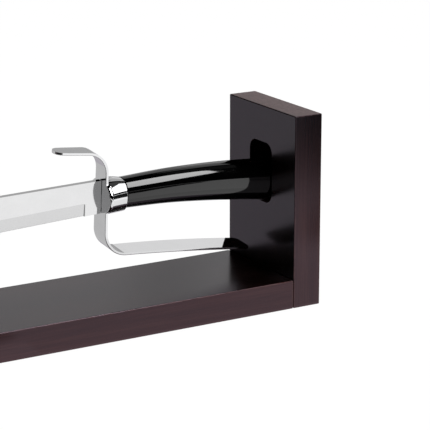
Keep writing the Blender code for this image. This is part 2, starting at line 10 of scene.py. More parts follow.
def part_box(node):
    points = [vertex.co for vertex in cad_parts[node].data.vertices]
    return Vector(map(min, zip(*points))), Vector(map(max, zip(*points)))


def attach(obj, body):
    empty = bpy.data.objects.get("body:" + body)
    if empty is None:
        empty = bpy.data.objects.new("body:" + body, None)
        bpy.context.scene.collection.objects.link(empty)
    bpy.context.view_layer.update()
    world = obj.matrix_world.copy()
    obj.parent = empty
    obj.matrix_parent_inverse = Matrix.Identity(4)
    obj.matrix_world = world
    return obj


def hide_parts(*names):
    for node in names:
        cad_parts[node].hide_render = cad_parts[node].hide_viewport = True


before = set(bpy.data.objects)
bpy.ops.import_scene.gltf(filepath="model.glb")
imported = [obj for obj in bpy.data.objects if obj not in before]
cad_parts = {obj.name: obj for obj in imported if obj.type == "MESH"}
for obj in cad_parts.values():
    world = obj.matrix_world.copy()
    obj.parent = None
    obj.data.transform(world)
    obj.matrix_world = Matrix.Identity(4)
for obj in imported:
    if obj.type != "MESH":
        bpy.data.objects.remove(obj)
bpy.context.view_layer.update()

MM = 0.001

# ------------------------------------------------------------------ places, from the CAD frame

right_low, right_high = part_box("handle_upright")
left_low, left_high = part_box("blade_upright")
base_low, base_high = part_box("base_board")
ferrule_low, ferrule_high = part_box("ferrule")
handle_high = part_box("handle")[1]
blade_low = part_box("blade")[0]

GAP = 0.3 * MM
LEAN = math.radians(5)
STRIP_THICKNESS = 1.9 * MM
PLATE_CENTRE = 0.9 * MM
GUARD_X = ferrule_low.x - GAP - STRIP_THICKNESS
SEAT_Z = (ferrule_low.z + ferrule_high.z) / 2 - PLATE_CENTRE * math.cos(LEAN)
SABRE = Matrix.Translation((GUARD_X, 0, SEAT_Z)) @ Matrix.Rotation(LEAN, 4, "X")

# Blade
BLADE_LENGTH = GUARD_X - blade_low.x
SPINE_AT_GUARD = 12.5 * MM
SPINE_FALL = 0.026
EDGE_AT_GUARD = -11.4 * MM
EDGE_FALL = 0.048
EDGE_STRAIGHT = 75 * MM
EDGE_LOWEST = -18 * MM
BELLY_LENGTH = 70 * MM
SPINE_THICKNESS = 3.8 * MM
TIP_THICKNESS = 1.8 * MM
EDGE_THICKNESS = 0.4 * MM
RICASSO = 12.4 * MM
PLUNGE = 2.6 * MM
BEVEL_HEIGHT = 9.4 * MM
TIP_HEIGHT = 1.2 * MM
BEVEL_SOFTNESS = 0.4 * MM
BEVEL_SHARE = 0.55              # most of the blade's height that the bevel takes, near the tip
SOFTNESS_SHARE = 0.1
EDGE_LIP = 0.15 * MM
EDGE_LIP_SHARE = 0.05
EDGE_NARROWING = 0.55
PLUNGE_CURVE = 2.6              # the grind starts steeply and runs out flat
PLUNGE_STEPS = 14
PLUNGE_CROWDING = 1.6           # sections crowd where the plunge starts
BELLY_TURN = math.pi / 2 * 0.985  # the belly's arc stops just short of the point

# Tang and its fixings
TANG_HEIGHT = 10 * MM
TANG_THICKNESS = 3.2 * MM
TANG_FLAT = 62 * MM
TANG_AXIS = -2.5 * MM
TANG_IN_BLADE = 2 * MM
ROD_RADIUS = 2.5 * MM
ROD_IN_TANG = 3 * MM
ROD_SHORT_OF_BUTT = 2 * MM
ROD_CHAMFER = 0.6 * MM
THREAD_RUN_OUT = 12 * MM        # these three are back from the rod's end
THREAD_START = 11.6 * MM
THREAD_END = 0.9 * MM
THREAD_PITCH = 0.8 * MM
THREAD_DEPTH = 0.35 * MM
NUT_WIDTH = 8 * MM
NUT_HEIGHT = 4 * MM
NUT_CHAMFER = 0.45 * MM
NUT_FACE_SHARE = 0.97           # the round face inside the chamfer, of the width over flats
NUT_CUT_PROUD = 0.02 * MM
WASHER_RADIUS = 5 * MM
WASHER_HEIGHT = 1 * MM
WASHER_ROUNDING = 0.2 * MM
RECESS_DEPTH = 8.5 * MM
BORE_SHORT_OF_FLAT = 2.3 * MM

# Guard
QUILLON_WIDTH = 12.8 * MM
LEG_WIDTH = 16.8 * MM
BOW_WIDTH = 20.6 * MM
QUILLON_LENGTH = 24.5 * MM
QUILLON_BEND = 15.05 * MM
QUILLON_RISE = math.radians(6.5)
LEG_LENGTH = 43.8 * MM
LEG_ABOVE_PLATE = 18.6 * MM
BOW_BEND = 17.05 * MM
BOW_DROP = math.radians(3.8)
BOW_LENGTH = 101.4 * MM
BOW_CURL = math.radians(4.5)
BOW_CORNER = 4 * MM
STRIP_UNDER_EDGE = 0.6 * MM
PLATE_UNDER_EDGE = 1.7 * MM
PLATE_WIDTH = 32.4 * MM
PLATE_HEIGHT = 24.4 * MM
FIRST_TIP_ANGLE = math.radians(5)  # the rounded tip starts here, so that its end isn't a point

# Ferrule and handle
FERRULE_FRONT = STRIP_THICKNESS + GAP
FERRULE_REAR = ferrule_high.x - GUARD_X
FERRULE_WIDTH = 29.0 * MM
FERRULE_HEIGHT = 24.8 * MM
FERRULE_REAR_WIDTH = 22.6 * MM
FERRULE_REAR_HEIGHT = 23.4 * MM
FERRULE_REAR_CENTRE = 0.4 * MM
FERRULE_LIP = 1 * MM
FERRULE_EDGE = 0.3 * MM
FERRULE_FULLNESS = 2.35
HANDLE_FRONT = FERRULE_REAR + GAP
BUTT_END = handle_high.x - GUARD_X
BUTT_ROUNDING = 10 * MM
POMMEL = BUTT_END - BUTT_ROUNDING
NECK_HEIGHT = 21.8 * MM
NECK_WIDTH = 20.8 * MM
POMMEL_HEIGHT = 31 * MM
POMMEL_WIDTH = 27 * MM
NECK_CENTRE = 1.2 * MM
POMMEL_CENTRE = -4.4 * MM
HANDLE_FULLNESS = 2.35
HANDLE_SLIM = 0.98
HANDLE_EDGE = 0.25 * MM
BUTT_FULLNESS = 1.12

# Stand
ARRIS = 0.8 * MM
RIM = 0.35 * MM
POCKET_FLOOR = 69.5 * MM
POCKET_DEPTH = 17 * MM
POCKET_CORNER = 8 * MM
POCKET_WIDTH = POMMEL_WIDTH + 3 * MM
POCKET_HEIGHT = POMMEL_HEIGHT + 13 * MM
POCKET_SHIFT = 1 * MM
SLOT_SIDE_ROOM = 0.6 * MM
SLOT_FLARE = 2 * MM
SLOT_FLARE_DEPTH = 4 * MM
SCREW_HEAD_SEAT = 2.35 * MM
SCREW_BORE = 2.55 * MM
OVERCUT = 1 * MM                # how far a cutter reaches past the face that it opens

# Plugs: the chamfer at the inner end, then the face's rounding as (below the face, in from the side)
PLUG_LEAD = 0.5 * MM
PLUG_LEAD_DEPTH = 0.4 * MM
PLUG_ROUNDING = ((0.35 * MM, 0.0), (0.12 * MM, 0.12 * MM), (0.0, 0.45 * MM))
PLUG_CENTRE_SHARE = 0.5

# Pads
PAD_SOFTNESS = 0.55 * MM
PAD_FACE_RINGS = (0.25, 0.5, 0.75)
PAD_FACE_FROM = 0.49            # share of the thickness, from the middle, where the flat faces begin
NAP_SCALE = 900
NAP_DEPTH = 0.09 * MM

# Sides of round shapes
HOLE_SIDES = 32
BORE_SIDES = 48
WASHER_SIDES = 64
PAD_SIDES = 72
OVAL_SIDES = 96

# Dark stain, and a lighter arris colour that paints a highlight along the edges, patchy like wear, in
# linear light
STAIN_DARK = (0.027, 0.0085, 0.0072)
STAIN_MIDDLE = (0.040, 0.0135, 0.0115)
STAIN_LIGHT = (0.062, 0.0235, 0.0200)
STAIN_PORE = (0.008, 0.004, 0.004)
END_GRAIN_DARK = (0.15, 0.066, 0.060)
END_GRAIN_LIGHT = (0.32, 0.160, 0.150)
# Painted highlight: the lighter reddish colour laid along the boards' arrises, in patches like wear
ARRIS_HIGHLIGHT_AND_WEAR = (0.10, 0.040, 0.032)
ARRIS_HIGHLIGHT_REACH = 1.3 * MM
WOOD_RELIEF = 0.008 * MM

# Camera: place from the handle-end board's inner face and the base board's underside
CAMERA_X = -0.7116
CAMERA_Y = -1.1502
CAMERA_Z = 0.4330
CAMERA_DOWN = math.radians(15.48)
CAMERA_ROUND = math.radians(30.33)
CAMERA_LENS = 162.05
SENSOR_WIDTH = 36

# Studio, in metres: lights as name, place, size, power
FLOOR_HALF = 12
KEY_LIGHT = ("key_front", (0.95, -1.9, 0.12), (1.2, 0.25), 30)
TOP_LIGHT = ("top_strip", (0.75, 0.0, 0.62), (0.4, 0.4), 2.2)
TOP_LIGHT_AIM = (0.20, 0, 0.14)

# Shades the upper part of the handle-end board from the key light
KEY_FLAG = [(0.20, -0.5, 0.105), (0.60, -0.5, 0.105), (0.60, -0.5, 0.40), (0.20, -0.5, 0.40)]

# Reflected sheets: name, brightness, height, outline, and colour where it isn't white
SHEETS = [
    ("top_box", 7.0, 1.2, [(0.20, -1.78), (1.02, -1.78), (1.00, -1.40), (0.95, -1.00), (0.92, -0.72),
                           (0.83, -0.43), (0.76, -0.15), (0.46, -0.15)], (1, 1, 1)),
    ("back_low", 0.54, 0.003, [(-2.0, 0.07), (0.10, 0.07), (-0.75, 1.57), (-2.0, 1.57)], (1, 1, 1)),
    ("back_low_right", 0.48, 0.003, [(0.10, 0.07), (1.0, 0.07), (1.0, 1.57), (-0.75, 1.57)],
     (0.97, 0.93, 1.0)),
    ("dark_wedge", 0.01, 0.005, [(0.28, -0.193), (2.36, -1.94), (2.76, -1.33), (0.317, -0.136)],
     (1, 1, 1)),
    ("dark_right", 0.01, 0.0045, [(0.353, -0.33), (1.03, -1.5), (2.2, -1.5), (1.2, -0.33)], (1, 1, 1)),
    ("dark_front", 0.01, 0.003, [(0.20, -0.35), (0.24, -0.36), (0.338, -0.50), (0.458, -0.70),
                                 (0.62, -0.97), (1.8, -3.2), (0.20, -3.2)], (1, 1, 1)),
]

# Reflected rectangles: name, brightness, centre, half width and half height as vectors
CARDS = [
    ("back_far_left", 0.60, (0.985, 2.51, 0.6), (0.435, 0, 0), (0, 0, 0.6)),
    ("back_left", 0.43, (1.50, 2.5, 1.3), (0.08, 0, 0), (0, 0, 1.3)),
    ("back_left_high", 0.43, (0.985, 2.5, 1.9), (0.435, 0, 0), (0, 0, 0.7)),
    ("back_fill", 0.40, (2.79, 2.5, 0.43), (1.21, 0, 0), (0, 0, 0.43)),
    ("back_bow", 0.78, (2.79, 2.5, 1.105), (1.21, 0, 0), (0, 0, 0.245)),
    ("back_cap", 0.45, (2.79, 2.5, 1.975), (1.21, 0, 0), (0, 0, 0.625)),
    ("cap_box", 0.45, (3.35, 2.5, 3.25), (1.2, 0, 0), (0, 0, 0.65)),
    ("side_box", 1.5, (1.4, -0.46, 0.94), (0, 0.56, 0), (0, 0, 0.62)),
    ("side_dim", 0.05, (1.5, 0.25, 1.9), (0.5, 0, 0), (0, 0.5, 0)),
    ("front_left", 0.30, (-0.055, -0.37, 0.004), (0.045, 0, 0), (0, 0.29, 0)),
    ("front_far_left", 0.03, (-0.205, -0.37, 0.004), (0.105, 0, 0), (0, 0.29, 0)),
    ("left_far", 0.02, (-0.65, -0.37, 0.004), (0.34, 0, 0), (0, 0.29, 0)),
    ("front_near", 0.86, (0.2, -0.088, 0.0035), (0.21, 0, 0), (0, 0.042, 0)),
]


# ------------------------------------------------------------------ mesh helpers

def steps(start, end, count):
    """Evenly spaced values from start to end, both included."""
    return [start + (end - start) * i / count for i in range(count + 1)]


def new_piece(name, bm, place=None, smooth=35):
    """Turn a bmesh into a linked object, shaded smooth up to an angle."""
    bmesh.ops.recalc_face_normals(bm, faces=bm.faces)
    mesh = bpy.data.meshes.new(name)
    bm.to_mesh(mesh)
    bm.free()
    piece = bpy.data.objects.new(name, mesh)
    bpy.context.scene.collection.objects.link(piece)
    if place is not None:
        piece.matrix_world = place
    if smooth:
        soften(piece, smooth)
    return piece


def soften(piece, angle=35):
    """Smooth shading with crisp creases above the angle."""
    piece.data.shade_smooth()
    piece.data.set_sharp_from_angle(angle=math.radians(angle))


def add_loft(bm, rings):
    """Skin a row of closed rings of equal count and cap both ends."""
    rows = [[bm.verts.new(point) for point in ring] for ring in rings]
    for first, second in zip(rows, rows[1:]):
        for i in range(len(first)):
            j = (i + 1) % len(first)
            bm.faces.new((first[i], first[j], second[j], second[i]))
    bm.faces.new(rows[0])
    bm.faces.new(rows[-1])


def add_turned(bm, profile, sides, y=0.0, z=0.0):
    """A solid turned about the X direction through (y, z), from (x, radius) steps."""
    rings = []
    for x, r in profile:
        rings.append([(x, y + r * math.cos(a), z + r * math.sin(a))
                      for a in (math.tau * i / sides for i in range(sides))])
    add_loft(bm, rings)


def add_ring(bm, profile, sides, y=0.0, z=0.0):
    """A ring turned about the X direction, from a closed profile of (x, radius)."""
    rows = []
    for i in range(sides):
        a = math.tau * i / sides
        rows.append([bm.verts.new((x, y + r * math.cos(a), z + r * math.sin(a))) for x, r in profile])
    for k, row in enumerate(rows):
        after = rows[(k + 1) % sides]
        for i in range(len(row)):
            j = (i + 1) % len(row)
            bm.faces.new((row[i], row[j], after[j], after[i]))


def add_box(bm, low, high):
    """A box between two corners."""
    corners = [(low[1], low[2]), (high[1], low[2]), (high[1], high[2]), (low[1], high[2])]
    add_loft(bm, [[(x, y, z) for y, z in corners] for x in (low[0], high[0])])


def settle(piece):
    """Apply a piece's modifiers to its mesh."""
    bpy.context.view_layer.update()
    evaluated = piece.evaluated_get(bpy.context.evaluated_depsgraph_get())
    mesh = bpy.data.meshes.new_from_object(evaluated)
    piece.modifiers.clear()
    piece.data = mesh


def carve(piece, bm, operation="DIFFERENCE", place=None):
    """Cut a bmesh's shape out of a piece, or join it on."""
    cutter = new_piece("cutter", bm, place, smooth=0)
    boolean = piece.modifiers.new("carve", "BOOLEAN")
    boolean.operation = operation
    boolean.solver = "EXACT"
    boolean.object = cutter
    settle(piece)
    bpy.data.objects.remove(cutter)


def break_edges(piece, width, segments=3, angle=40):
    """Round a piece's sharp edges."""
    bevel = piece.modifiers.new("edges", "BEVEL")
    bevel.width = width
    bevel.segments = segments
    bevel.limit_method = "ANGLE"
    bevel.angle_limit = math.radians(angle)
    bevel.use_clamp_overlap = True
    settle(piece)


def keep_flats(piece):
    """Keep flat faces flat beside rounded edges."""
    weighted = piece.modifiers.new("flats", "WEIGHTED_NORMAL")
    weighted.keep_sharp = True


def smooth_through(points):
    """A smooth curve through (x, y) points, as a function of x."""
    xs = [x for x, _ in points]
    ys = [y for _, y in points]
    last = len(points) - 1
    slopes = []
    for i in range(last + 1):
        low = max(i - 1, 0)
        high = min(i + 1, last)
        slopes.append((ys[high] - ys[low]) / (xs[high] - xs[low]))

    def value(x):
        i = 0
        while i < last - 1 and x > xs[i + 1]:
            i += 1
        span = xs[i + 1] - xs[i]
        u = (x - xs[i]) / span
        blend = u * u * (3 - 2 * u)
        start = u * (1 - u) ** 2 * slopes[i]
        end = u * u * (u - 1) * slopes[i + 1]
        return ys[i] + (ys[i + 1] - ys[i]) * blend + span * (start + end)

    return value


# ------------------------------------------------------------------ outlines of the sabre

def spine_height(x):
    """Height of the blade's back above the sabre's axis; x is negative."""
    return SPINE_AT_GUARD + SPINE_FALL * x


def edge_height(x):
    """Height of the cutting edge: straight, then level, then the belly's arc."""
    reach = -x
    belly = BLADE_LENGTH - BELLY_LENGTH
    straight_end = EDGE_AT_GUARD - EDGE_FALL * EDGE_STRAIGHT
    if reach <= EDGE_STRAIGHT:
        return EDGE_AT_GUARD - EDGE_FALL * reach
    if reach <= belly:
        u = (reach - EDGE_STRAIGHT) / (belly - EDGE_STRAIGHT)
        fall = EDGE_LOWEST - straight_end
        tangent = -EDGE_FALL * (belly - EDGE_STRAIGHT)
        return straight_end + fall * u * u * (3 - 2 * u) + tangent * u * (1 - u) ** 2
    rise = spine_height(-BLADE_LENGTH) - TIP_HEIGHT - EDGE_LOWEST
    radius = (BELLY_LENGTH ** 2 + rise ** 2) / (2 * rise)
    return EDGE_LOWEST + radius - math.sqrt(max(0.0, radius ** 2 - (reach - belly) ** 2))


def handle_shape():
    """Height, width and centre of the handle as functions of x."""
    def at(share):
        return HANDLE_FRONT + (POMMEL - HANDLE_FRONT) * share

    def between(neck, pommel, share):
        return neck + (pommel - neck) * share

    height = smooth_through([(at(0), NECK_HEIGHT),
                             (at(0.3), between(NECK_HEIGHT, POMMEL_HEIGHT, 0.28)),
                             (at(0.6), between(NECK_HEIGHT, POMMEL_HEIGHT, 0.6)),
                             (at(1), POMMEL_HEIGHT)])
    width = smooth_through([(at(0), NECK_WIDTH),
                            (at(0.3), between(NECK_WIDTH, POMMEL_WIDTH, 0.38)),
                            (at(0.6), between(NECK_WIDTH, POMMEL_WIDTH, 0.68)),
                            (at(1), POMMEL_WIDTH)])
    centre = smooth_through([(at(0), NECK_CENTRE),
                             (at(0.28), NECK_CENTRE + 0.35 * MM),
                             (at(0.55), between(NECK_CENTRE, POMMEL_CENTRE, 0.16)),
                             (at(0.8), between(NECK_CENTRE, POMMEL_CENTRE, 0.56)),
                             (at(1), POMMEL_CENTRE)])
    return height, width, centre


class StripPath:
    """The guard's bent centre line: straight runs and arcs, by distance."""

    def __init__(self):
        self.runs = [(QUILLON_LENGTH, 0.0),
                     (QUILLON_BEND * (math.pi / 2 - QUILLON_RISE), QUILLON_RISE - math.pi / 2),
                     (LEG_LENGTH, 0.0),
                     (BOW_BEND * (math.pi / 2 - BOW_DROP), math.pi / 2 - BOW_DROP),
                     (BOW_LENGTH, -BOW_CURL)]
        self.length = sum(length for length, _ in self.runs)
        self.plate = self.runs[0][0] + self.runs[1][0] + LEG_ABOVE_PLATE
        self.shift = Vector((0, 0))
        point, _ = self.at(self.plate)
        self.shift = Vector((STRIP_THICKNESS / 2, PLATE_CENTRE)) - point

    def at(self, distance):
        """Point in X and Z, and heading, at a distance from the quillon's tip."""
        point = self.shift.copy()
        heading = -QUILLON_RISE
        for length, turn in self.runs:
            run = min(distance, length)
            bend = turn * run / length
            chord = run if not turn else 2 * length / turn * math.sin(bend / 2)
            middle = heading + bend / 2
            point += chord * Vector((math.cos(middle), math.sin(middle)))
            heading += bend
            distance -= run
            if distance <= 0:
                break
        return point, heading

    def half_width(self, distance):
        """Half the strip's width, through its three named widths."""
        u = distance / self.length
        k = self.plate / self.length
        quillon = QUILLON_WIDTH * (u - k) * (u - 1) / k
        leg = LEG_WIDTH * u * (u - 1) / (k * (k - 1))
        bow = BOW_WIDTH * u * (u - k) / (1 - k)
        return (quillon + leg + bow) / 2

    def stations(self):
        """(distance, half width) along the strip, with its oval plate and rounded ends."""
        tip = self.half_width(0)
        found = []
        for angle in steps(FIRST_TIP_ANGLE, math.pi / 2, 20):
            found.append((tip * (1 - math.cos(angle)), tip * math.sin(angle)))
        waist = self.half_width(self.plate)
        crossing = math.acos(waist / (PLATE_WIDTH / 2))
        plate_start = self.plate - PLATE_HEIGHT / 2 * math.sin(crossing)
        plate_end = self.plate + PLATE_HEIGHT / 2 * math.sin(crossing)
        bend_1 = self.runs[0][0]
        bend_1_end = bend_1 + self.runs[1][0]
        bend_2 = bend_1_end + self.runs[2][0]
        bend_2_end = bend_2 + self.runs[3][0]
        plain = steps(tip, bend_1, 6)[1:-1] + steps(bend_1, bend_1_end, 30)
        plain += [plate_start, plate_end]
        plain += steps(plate_end, bend_2, 4)[1:-1] + steps(bend_2, bend_2_end, 30)
        plain += steps(bend_2_end, self.length - BOW_CORNER, 40)[1:]
        found += [(distance, self.half_width(distance)) for distance in plain]
        for angle in steps(-crossing, crossing, 40)[1:-1]:
            distance = self.plate + PLATE_HEIGHT / 2 * math.sin(angle)
            found.append((distance, PLATE_WIDTH / 2 * math.cos(angle)))
        square = self.half_width(self.length) - BOW_CORNER
        for angle in steps(0, math.pi / 2, 10)[1:]:
            distance = self.length - BOW_CORNER * (1 - math.sin(angle))
            found.append((distance, square + BOW_CORNER * math.cos(angle)))
        return sorted(found)


# ------------------------------------------------------------------ material helpers

class Nodes:
    """Short ways to add and join shader nodes in one material."""

    def __init__(self, name):
        self.material = bpy.data.materials.new(name)
        self.material.use_nodes = True
        self.tree = self.material.node_tree
        self.shader = self.tree.nodes["Principled BSDF"]

    def add(self, kind, inputs=None, **settings):
        """A node with its settings; inputs by name or index are values or sockets."""
        made = self.tree.nodes.new(kind)
        for key, value in settings.items():
            setattr(made, key, value)
        for key, value in (inputs or {}).items():
            self.put(made.inputs[key], value)
        return made

    def put(self, socket, value):
        """Give a socket a value, or join another socket to it."""
        if isinstance(value, bpy.types.NodeSocket):
            self.tree.links.new(value, socket)
        else:
            socket.default_value = value

    def set(self, **inputs):
        """Give the Principled shader its inputs; underscores stand for spaces."""
        for key, value in inputs.items():
            self.put(self.shader.inputs[key.replace("_", " ")], value)

    def math(self, operation, a, b=0.0, clamp=False):
        """One Math node's result."""
        return self.add("ShaderNodeMath", {0: a, 1: b}, operation=operation, use_clamp=clamp).outputs[0]

    def noise(self, scale, detail=4.0, roughness=0.55, distortion=0.0):
        """Noise in the piece's own space; scale is per metre along X, Y and Z."""
        coordinates = self.add("ShaderNodeTexCoord").outputs["Object"]
        mapped = self.add("ShaderNodeMapping", {"Vector": coordinates, "Scale": scale})
        made = self.add("ShaderNodeTexNoise", {"Vector": mapped.outputs[0], "Scale": 1.0,
                                               "Detail": detail, "Roughness": roughness,
                                               "Distortion": distortion})
        return made.outputs[0]

    def remap(self, value, low, high, to_low, to_high):
        """A value's range carried over to another, clamped."""
        return self.add("ShaderNodeMapRange", {"Value": value, "From Min": low, "From Max": high,
                                               "To Min": to_low, "To Max": to_high}).outputs[0]

    def ramp(self, value, stops):
        """A colour ramp of (position, colour) stops."""
        made = self.add("ShaderNodeValToRGB", {0: value})
        elements = made.color_ramp.elements
        while len(elements) < len(stops):
            elements.new(0.5)
        for element, (position, colour) in zip(elements, stops):
            element.position = position
            element.color = (*colour, 1)
        return made.outputs[0]

    def blend(self, share, first, second):
        """Two colours mixed by a varying share."""
        made = self.add("ShaderNodeMix", data_type="RGBA")
        self.put(made.inputs["Factor"], share)
        for key, colour in (("A", first), ("B", second)):
            joined = isinstance(colour, bpy.types.NodeSocket)
            self.put(made.inputs[key], colour if joined else (*colour, 1))
        return made.outputs["Result"]

    def bump(self, height, distance, strength=1.0):
        """Surface relief of a real depth in metres."""
        made = self.add("ShaderNodeBump", {"Height": height, "Distance": distance,
                                           "Strength": strength})
        self.set(Normal=made.outputs[0])


def stretched(along, across, axis):
    """Noise scale per metre: coarse along one axis, fine across it."""
    return tuple(along if i == axis else across for i in range(3))


# Mask for the painted arris highlight, which runs along every edge of the board's box
def edge_highlight_and_wear(nodes, half, reach):
    """1 at the edges of a box of these half sizes, 0 beyond reach, from the piece's own space."""
    coordinates = nodes.add("ShaderNodeTexCoord").outputs["Object"]
    split = nodes.add("ShaderNodeSeparateXYZ", {0: coordinates})
    depth = []
    for i in range(3):
        depth.append(nodes.math("SUBTRACT", half[i], nodes.math("ABSOLUTE", split.outputs[i])))
    nearer = nodes.math("MINIMUM", depth[0], depth[1])
    farther = nodes.math("MAXIMUM", depth[0], depth[1])
    second = nodes.math("MAXIMUM", nearer, nodes.math("MINIMUM", farther, depth[2]))
    return nodes.remap(second, reach * 0.25, reach, 1.0, 0.0)


def wood_material(name, axis, half=None, lift=1.0):
    """Dark stained, satin-lacquered hardwood with its grain along one axis."""
    nodes = Nodes(name)
    bands = nodes.noise(stretched(3.5, 120, axis), detail=3, roughness=0.5, distortion=0.6)
    fibres = nodes.noise(stretched(35, 1100, axis), detail=5, roughness=0.65)
    pores = nodes.noise(stretched(160, 2600, axis), detail=2, roughness=0.5)
    tone = nodes.math("ADD", nodes.math("MULTIPLY", bands, 0.62),
                      nodes.math("MULTIPLY", fibres, 0.38))
    stains = ((0.36, STAIN_DARK), (0.50, STAIN_MIDDLE), (0.66, STAIN_LIGHT))
    colour = nodes.ramp(tone, [(place, tuple(c * lift for c in stain)) for place, stain in stains])
    pits = nodes.remap(pores, 0.66, 0.74, 0.0, 1.0)
    colour = nodes.blend(nodes.math("MULTIPLY", pits, 0.5), colour, STAIN_PORE)
    normal = nodes.add("ShaderNodeNewGeometry").outputs["Normal"]
    facing = nodes.add("ShaderNodeSeparateXYZ", {0: normal}).outputs[axis]
    end_grain = nodes.remap(nodes.math("ABSOLUTE", facing), 0.6, 0.9, 0.0, 1.0)
    rings = nodes.noise(stretched(60, 420, axis), detail=4, roughness=0.6, distortion=1.2)
    colour = nodes.blend(end_grain, colour, nodes.ramp(rings, [(0.35, END_GRAIN_DARK),
                                                               (0.65, END_GRAIN_LIGHT)]))
    if half:
        # Painted highlight: a lighter reddish colour along the arrises, broken into patches like wear
        patches = nodes.noise((260, 260, 260), detail=4)
        arris_highlight_and_wear = nodes.math("MULTIPLY", edge_highlight_and_wear(nodes, half, ARRIS_HIGHLIGHT_REACH),
                          nodes.remap(patches, 0.35, 0.6, 0.25, 1.0))
        colour = nodes.blend(nodes.math("MULTIPLY", arris_highlight_and_wear, 0.75), colour, ARRIS_HIGHLIGHT_AND_WEAR)
    satin = nodes.remap(fibres, 0.3, 0.7, 0.205, 0.235)
    nodes.set(Base_Color=colour,
              Roughness=nodes.math("ADD", satin, nodes.math("MULTIPLY", end_grain, 0.14)),
              Specular_IOR_Level=0.51, Specular_Tint=(0.96, 0.80, 1.0, 1.0))
    relief = nodes.math("SUBTRACT", nodes.math("MULTIPLY", fibres, 0.35),
                        nodes.math("MULTIPLY", pits, 0.5))
    nodes.bump(relief, WOOD_RELIEF, 0.3)
    return nodes.material


def steel_material(name, colour, roughness, lines, depth):
    """Bright steel: fine lines, and soft smears that run its roughness between two values."""
    nodes = Nodes(name)
    brushed = nodes.noise(lines, detail=3, roughness=0.6)
    smears = nodes.noise((45, 45, 60), detail=5, roughness=0.6, distortion=0.8)
    shade = nodes.remap(smears, 0.3, 0.7, 0.0, 1.0)
    darker = tuple(0.95 * c for c in colour)
    nodes.set(Base_Color=nodes.blend(shade, darker, colour), Metallic=1.0,
              Roughness=nodes.remap(nodes.math("ADD", nodes.math("MULTIPLY", smears, 0.6),
                                               nodes.math("MULTIPLY", brushed, 0.4)),
                                    0.35, 0.65, *roughness))
    nodes.bump(brushed, depth, 0.5)
    return nodes.material


def handle_material():
    """Black moulded handle with a deep gloss."""
    nodes = Nodes("gloss_black")
    mottle = nodes.noise((70, 70, 70), detail=5, roughness=0.6)
    speck = nodes.noise((2600, 2600, 2600), detail=2, roughness=0.5)
    nodes.set(Base_Color=nodes.ramp(mottle, [(0.3, (0.0012, 0.0012, 0.0014)),
                                             (0.7, (0.0024, 0.0024, 0.0027))]),
              Roughness=nodes.remap(mottle, 0.3, 0.7, 0.035, 0.065),
              IOR=1.5, Specular_IOR_Level=0.75)
    nodes.bump(speck, 0.0012 * MM, 0.35)
    return nodes.material


def felt_material():
    """Black felt with a fuzzy surface."""
    nodes = Nodes("black_felt")
    clumps = nodes.noise((900, 900, 900), detail=5, roughness=0.7)
    hairs = nodes.noise((5200, 1400, 3800), detail=3, roughness=0.6, distortion=1.5)
    nodes.set(Base_Color=nodes.ramp(clumps, [(0.3, (0.006, 0.006, 0.0065)),
                                             (0.7, (0.028, 0.027, 0.028))]),
              Roughness=nodes.remap(hairs, 0.3, 0.7, 0.86, 0.98),
              Sheen_Weight=0.35, Sheen_Roughness=0.5)
    nodes.bump(nodes.math("ADD", clumps, hairs), 0.12 * MM, 0.7)
    return nodes.material


def zinc_material():
    """Zinc-plated hardware, a little cloudy."""
    nodes = Nodes("zinc_plate")
    cloud = nodes.noise((500, 500, 500), detail=5, roughness=0.65, distortion=0.6)
    grit = nodes.noise((6000, 6000, 6000), detail=2)
    nodes.set(Base_Color=nodes.ramp(cloud, [(0.3, (0.46, 0.45, 0.41)), (0.7, (0.66, 0.65, 0.62))]),
              Metallic=1.0, Roughness=nodes.remap(cloud, 0.3, 0.7, 0.26, 0.44))
    nodes.bump(grit, 0.006 * MM, 0.4)
    return nodes.material


def beech_material():
    """Raw beech dowel with its small ray flecks."""
    nodes = Nodes("raw_beech")
    grain = nodes.noise((60, 1500, 1500), detail=5, roughness=0.6)
    flecks = nodes.remap(nodes.noise((500, 3000, 3000), detail=1), 0.62, 0.7, 0.0, 0.7)
    colour = nodes.ramp(grain, [(0.3, (0.42, 0.27, 0.15)), (0.7, (0.62, 0.45, 0.29))])
    nodes.set(Base_Color=nodes.blend(flecks, colour, (0.30, 0.17, 0.09)),
              Roughness=nodes.remap(grain, 0.3, 0.7, 0.6, 0.75))
    nodes.bump(grain, 0.05 * MM, 0.5)
    return nodes.material


def finish_piece(piece, material, body, node):
    """Give a piece its material and body, and hide the CAD node that it stands for."""
    piece.data.materials.clear()
    piece.data.materials.append(material)
    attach(piece, body)
    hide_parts(node)


# ------------------------------------------------------------------ stand

def joinery(side):
    """Cutter for one end's dowel, screw and plug holes, from the CAD pieces' boxes."""
    end = "handle_end" if side > 0 else "blade_end"
    bm = bmesh.new()
    for number in (1, 2):
        low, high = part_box(f"dowel_{end}_{number}")
        middle = (low + high) / 2
        radius = (high.z - low.z) / 2 + GAP
        add_turned(bm, [(low.x - GAP, radius), (high.x + GAP, radius)], HOLE_SIDES, middle.y, middle.z)
        low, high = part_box(f"screw_{end}_{number}")
        plug_low, plug_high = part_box(f"plug_{end}_{number}")
        middle = (low + high) / 2
        bore = (plug_high.z - plug_low.z) / 2 + GAP
        seat = (high.x if side > 0 else low.x) - side * SCREW_HEAD_SEAT
        tip = (low.x if side > 0 else high.x) - side * GAP
        outer = (plug_high.x if side > 0 else plug_low.x) + side * OVERCUT
        profile = [(outer, bore), (seat, bore), (seat, SCREW_BORE), (tip, SCREW_BORE)]
        add_turned(bm, profile, HOLE_SIDES, middle.y, middle.z)
    return bm


